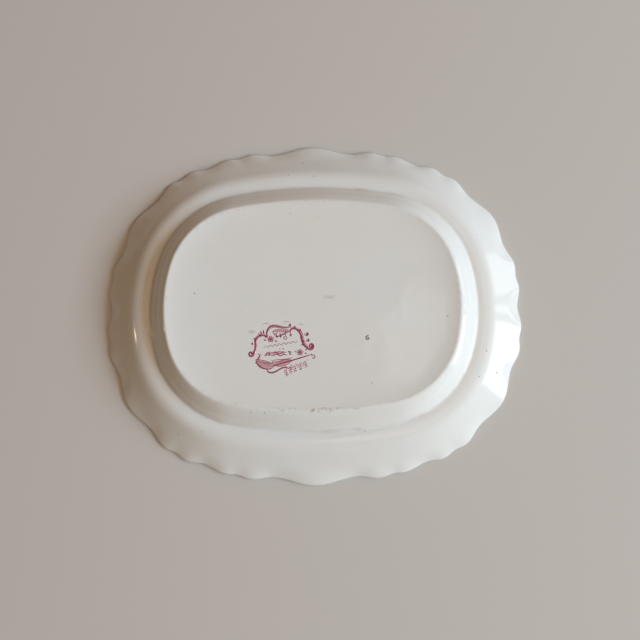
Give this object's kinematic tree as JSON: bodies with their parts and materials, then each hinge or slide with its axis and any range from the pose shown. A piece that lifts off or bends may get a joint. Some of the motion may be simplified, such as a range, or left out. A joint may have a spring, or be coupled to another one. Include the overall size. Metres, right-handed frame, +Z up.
{
  "type": "serving platter",
  "caption": "Oval china serving platter with a lobed lip, lying face down to show its glazed foot, moulded wall and crimson printed maker's cartouche.",
  "frame": {"origin": "centre of the plane that the lip rests on, on the table under the middle of the platter", "axes": "+Z up, out of the foot: the platter lies face down on its lip, as it is stored and as its marks are read. +X along its length, +Y across it, with the printed cartouche upright towards +Y. Turned half a turn about X it stands on its foot to serve, with the well open upwards."},
  "size_m": [0.4298, 0.3564, 0.0438],
  "materials": {
    "clay": "fired white earthenware",
    "glaze_back": "gloss lead glaze, off-white",
    "glaze_face": "gloss lead glaze, off-white",
    "border_print": "crimson transfer print under gloss glaze",
    "centre_print": "crimson transfer print under gloss glaze",
    "backstamp_ink": "crimson transfer print under gloss glaze",
    "tally_ink": "crimson mark under gloss glaze"
  },
  "bodies": {
    "root": {"clay_body": "clay", "glaze_back": "glaze_back", "glaze_face": "glaze_face", "border_print": "border_print", "centre_print": "centre_print", "backstamp_print": "backstamp_ink", "tally_mark": "tally_ink"}
  },
  "joints": []
}
